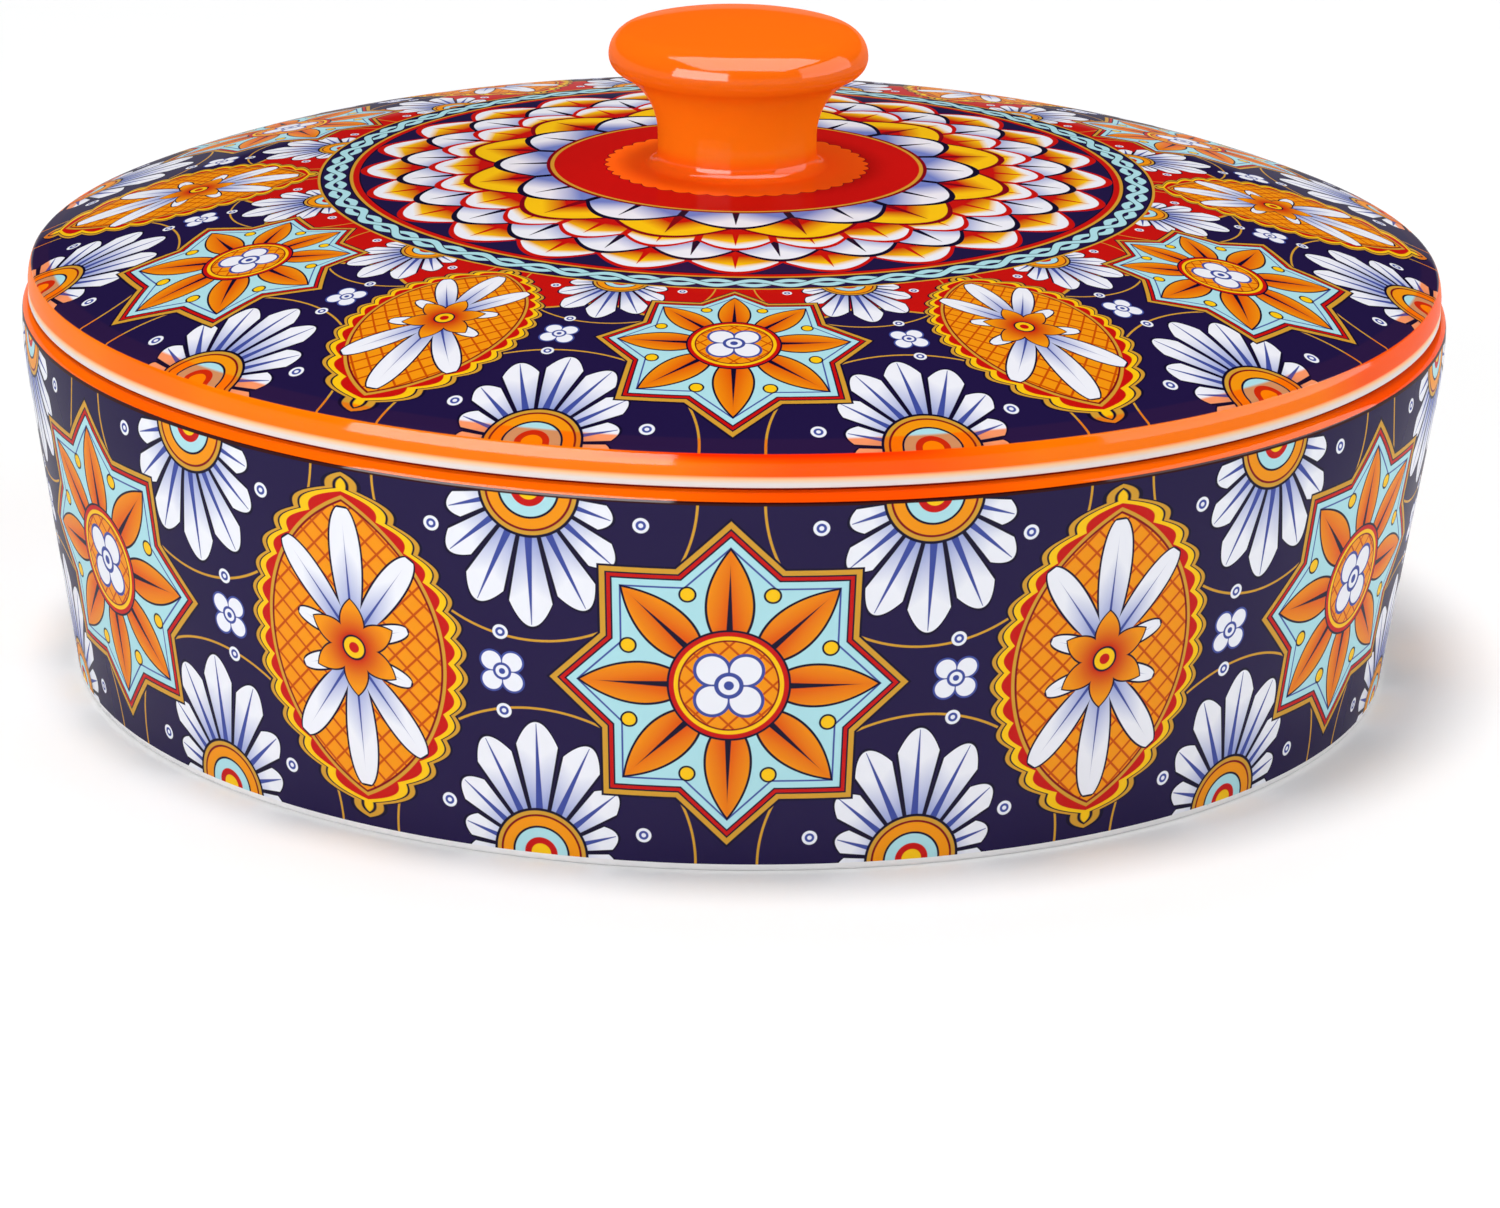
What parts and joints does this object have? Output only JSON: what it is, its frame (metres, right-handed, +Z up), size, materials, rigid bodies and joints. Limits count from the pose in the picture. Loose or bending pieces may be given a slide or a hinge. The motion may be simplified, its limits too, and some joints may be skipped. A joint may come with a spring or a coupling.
{
  "type": "tortilla warmer",
  "caption": "Low round covered dish that keeps flatbreads warm: flared wall, shallow domed lid that drops onto the rim, and a mushroom-shaped knob.",
  "frame": {"origin": "centre of the foot ring, on the table", "axes": "+Z straight up along the dish's axis; the dish, lid and knob are turned about it"},
  "size_m": [0.2624, 0.2624, 0.1211],
  "materials": {
    "dish_glaze": "gloss",
    "lid_glaze": "gloss",
    "knob_glaze": "gloss"
  },
  "bodies": {
    "dish": {"dish": "dish_glaze"},
    "lid": {"lid": "lid_glaze", "knob": "knob_glaze"}
  },
  "joints": [
    {"name": "lid_lift", "type": "slide", "parent": "dish", "child": "lid", "axis": [0, 0, 1], "range_m": [0, 0.12]}
  ]
}
